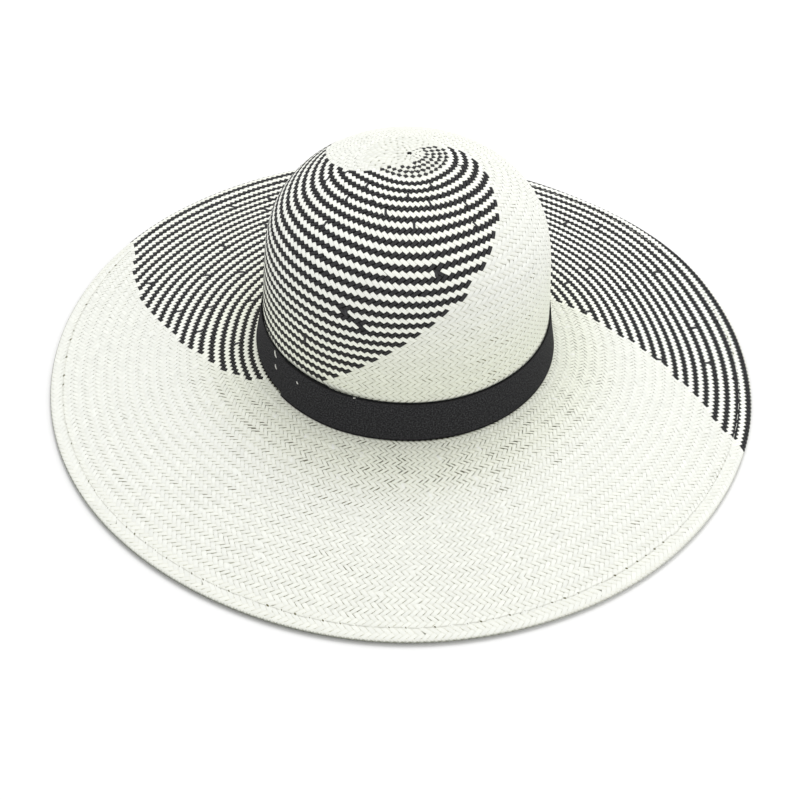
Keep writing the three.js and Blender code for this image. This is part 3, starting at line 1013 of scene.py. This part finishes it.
def add_stitches():
    random = np.random.default_rng(SEED + 5)
    starts = [0.0]
    while starts[-1] < 360 - 1.6:
        starts.append(starts[-1] + random.uniform(SHORT_STITCH, LONG_STITCH))
    starts = np.array(starts) * 360 / (starts[-1] + 2.2)
    bounds = np.append(starts, 360.0)
    share = np.linspace(-1, 1, STITCH_POINTS)
    middle = STITCH_POINTS // 2
    around = np.linspace(0, 2 * np.pi, HOLE_POINTS, endpoint=False)
    size = STITCH_POINTS * THREAD_SIDES
    threads, holes, hole_faces = [], [], []
    for k in range(len(starts)):
        degrees = np.linspace(bounds[k] + STITCH_GAP, bounds[k + 1] - STITCH_GAP, STITCH_POINTS)
        label = stitch_label(degrees) + random.normal(0, 0.15) + random.normal(0, 0.2) * share
        hidden = brim_weave.is_dark(np.radians(degrees[middle]), label[middle]) and 24 < degrees[middle]
        raised = (0.0 if hidden else 0.12) - 0.5 * np.abs(share) ** 5
        centres = raised_point(brim_point, np.radians(degrees), label, raised)
        points = tube(centres, HIDDEN_THREAD_RADIUS if hidden else THREAD_RADIUS).reshape(-1, 3)
        faces = grid_faces(STITCH_POINTS, THREAD_SIDES, closed=True)[:, ::-1] + size * k
        tones = np.full((size, 3), random.uniform(0.93, 1.03))
        flow = np.stack(np.meshgrid(share * 4 + k * 9, np.arange(THREAD_SIDES), indexing="ij"), -1)
        threads.append((points, faces, tones, flow.reshape(-1, 2)))
        hole = random.choice(HOLE_SIZES)
        if hidden:
            hole = HOLE_SIZES[0]
        reach = hole * random.uniform(1.0, 1.9) / STITCH_RADIUS
        angle = np.radians(bounds[k]) + reach * np.cos(around)
        place = stitch_label(bounds[k]) + hole * np.sin(around) + 0.35 * np.cos(around)
        holes.append(raised_point(brim_point, angle, place, 0.09))
        hole_faces.append(np.arange(HOLE_POINTS)[::-1] + HOLE_POINTS * k)
    piece = new_mesh("brim_hem_thread", *[np.concatenate(values) for values in zip(*threads)])
    finish_piece(piece, thread_straw, "straw_hem", "brim_hem")
    # Painted shade in the stitch holes
    tones = np.tile(HOLE_SHADE_TONE, (len(holes) * HOLE_POINTS, 1))
    piece = new_mesh("brim_hem_pinholes", np.concatenate(holes), np.array(hole_faces), tones)
    finish_piece(piece, depth_shade_straw, "straw_hem", "brim_hem")


add_stitches()


# The band

BAND_HEIGHTS = np.array([0, 0.012, 0.034, 0.045, 0.25, 0.5, 0.75, 0.955, 0.966, 0.988, 1.0])
BAND_CORNER = 0.72  # thickness at the top and bottom edges, as a share
# The band's edges are darker: partly a darker selvedge, partly painted shade in the gap along each edge
BAND_SELVEDGE_AND_SHADE_TONE = 0.25
BAND_UNDER_DROP = 1.3  # how far the end below the lap hangs lower, so that no gap shows
THREAD_POINTS = 7
THREAD_TURN = 57.3 / 94  # degrees for a millimetre round the band

# Loose thread ends: angle, height, length, slope in radians and thickness
BAND_THREADS = [(210.6, 53.0, 4.4, 2.25, 0.42), (212.0, 44.8, 3.0, 2.35, 0.36),
    (226.3, 49.0, 1.6, 2.4, 0.32), (251.5, 56.6, 1.6, 0.3, 0.25)]


def band_inner_radius(height):
    return np.interp(height, [BAND_BOTTOM, BAND_MIDDLE, BAND_TOP], CROWN_FOOT_RADII) + BAND_GAP


def band_lift(degrees):
    """How far the strip stands off the crown: its outer end lies over its inner one."""
    return BAND_STEP * (1 - smoothstep((degrees - BAND_END - BAND_LAP) / BAND_RISE))


def band_point(degrees, radius, height):
    angle = np.radians(degrees)
    return np.stack([SHIFT_X + radius * np.cos(angle), SHIFT_Y + radius * np.sin(angle), height], -1)


def add_band():
    degrees = np.arange(BAND_END, BAND_END + 360 + BAND_LAP + 0.5, 1.0)
    thickness = np.where(np.abs(BAND_HEIGHTS - 0.5) < 0.495, 1.0, BAND_CORNER)
    share = np.concatenate([BAND_HEIGHTS, BAND_HEIGHTS[::-1]])
    out = np.concatenate([thickness, np.zeros(len(thickness))])
    drop = BAND_UNDER_DROP * smoothstep((degrees - BAND_END - 300) / 50)
    near_end = np.exp(-((degrees - BAND_END - 8) / 11.0) ** 2)
    top = BAND_TOP + 0.5 * near_end + 0.12 * np.sin(np.radians(degrees * 5)) - 0.12
    bottom = BAND_BOTTOM + 0.12 * np.sin(np.radians(degrees * 4 + 50)) + 0.12 + drop
    height = bottom[:, None] + (top - bottom)[:, None] * share
    wobble = 0.10 * np.sin(np.radians(degrees * 3))[:, None] * np.sin(np.pi * share)
    radius = band_inner_radius(height) + band_lift(degrees)[:, None] + BAND_THICKNESS * out
    radius = radius + np.where(out > 0.5, wobble, 0)
    points = band_point(degrees[:, None], radius, height)
    count = len(share)
    cap_faces = []
    for base, step in ((0, -1), ((len(degrees) - 1) * count, 1)):
        for k in range(count // 2 - 1):
            quad = [base + k, base + k + 1, base + count - 2 - k, base + count - 1 - k]
            cap_faces.append(quad[::step])
    faces = np.concatenate([grid_faces(len(degrees), count, closed=True)[:, ::-1], np.array(cap_faces)])
    # Darker edges: a darker selvedge and painted shade along each edge
    shade = np.where(np.abs(share - 0.5) > 0.464, BAND_SELVEDGE_AND_SHADE_TONE, 1.0)
    tones = np.ones((len(degrees), 1, 3)) * shade[:, None]
    flow = np.stack([degrees[:, None] * 1.62 + 0 * height, share * 27 + 0 * height], -1)
    finish_piece(new_mesh("band_strip", points, faces, tones, flow), band_cloth, "band_cloth", "band")


add_band()


def add_band_threads():
    random = np.random.default_rng(SEED + 9)
    share = np.linspace(-1, 1, THREAD_POINTS)
    points, faces = [], []
    for k, (degrees, height, length, slope, thickness) in enumerate(BAND_THREADS):
        along = degrees + share * length / 2 * math.cos(slope) * THREAD_TURN
        up = height + share * length / 2 * math.sin(slope)
        lift = band_lift(along) * (along > BAND_END)
        radius = band_inner_radius(up) + lift + BAND_THICKNESS + 0.15 - 0.45 * share ** 4
        points.append(tube(band_point(along, radius, up), thickness).reshape(-1, 3))
        quads = grid_faces(THREAD_POINTS, THREAD_SIDES, closed=True)[:, ::-1]
        faces.append(quads + THREAD_POINTS * THREAD_SIDES * k)
    points = np.concatenate(points)
    flow = random.uniform(0, 10, (len(points), 2))
    piece = new_mesh("band_threads", points, np.concatenate(faces), np.ones((len(points), 3)), flow)
    finish_piece(piece, thread_straw, "band_cloth", "band")


add_band_threads()


# Floor, light and camera

FLOOR_HALF = 4000.0
WORLD_STRENGTH = 0.81


def add_floor():
    points = FLOOR_HALF * np.array([(-1, -1, 0), (1, -1, 0), (1, 1, 0), (-1, 1, 0)])
    piece = new_mesh("floor", points, [[0, 1, 2, 3]])
    look = Look("floor_paper", 0.9, 0.1)
    grain = look.noise(look.node("TexCoord", {}).outputs["Object"], 3.0, 2.0)
    look.feed(look.ramp(grain, (0.97, 0.97, 0.97), (0.985, 0.985, 0.985)), "Base Color")
    piece.data.materials.append(look.material)


def add_area(name, location, aim, size, power):
    """A square lamp, with its place and size in metres and its power in watts."""
    light = bpy.data.lights.new(name, "AREA")
    light.shape = "SQUARE"
    light.size = size
    light.energy = power
    holder = bpy.data.objects.new(name, light)
    holder.location = location
    direction = Vector(aim) - Vector(location)
    holder.rotation_euler = direction.to_track_quat("-Z", "Y").to_euler()
    bpy.context.scene.collection.objects.link(holder)


add_floor()
add_area("light_top", (0.2, 0.75, 2.2), (0, 0, 0), 1.2, 18.8)
add_area("light_right", (1.5, -0.6, 0.8), (0, 0, 0.05), 1.2, 1.8)

world = bpy.data.worlds.new("studio")
world.use_nodes = True
background = world.node_tree.nodes["Background"]
background.inputs["Color"].default_value = (1, 1, 1, 1)
background.inputs["Strength"].default_value = WORLD_STRENGTH
bpy.context.scene.world = world
bpy.context.scene.view_settings.view_transform = "Standard"

camera_data = bpy.data.cameras.new("camera")
camera_data.lens = CAMERA_LENS
camera_data.sensor_width = 36.0
camera_data.shift_x, camera_data.shift_y = CAMERA_SHIFT
camera_data.clip_start = 0.01
camera_data.clip_end = 50.0
camera = bpy.data.objects.new("camera", camera_data)
elevation = math.radians(CAMERA_ELEVATION)
offset = Vector((0, -math.cos(elevation), math.sin(elevation))) * CAMERA_DISTANCE
place = Vector(CAMERA_TARGET) + offset
look = (-offset).to_track_quat("-Z", "Y").to_matrix().to_4x4()
roll = Matrix.Rotation(math.radians(CAMERA_ROLL), 4, "Z")
camera.matrix_world = Matrix.Translation(place) @ look @ roll
bpy.context.scene.collection.objects.link(camera)
bpy.context.scene.camera = camera
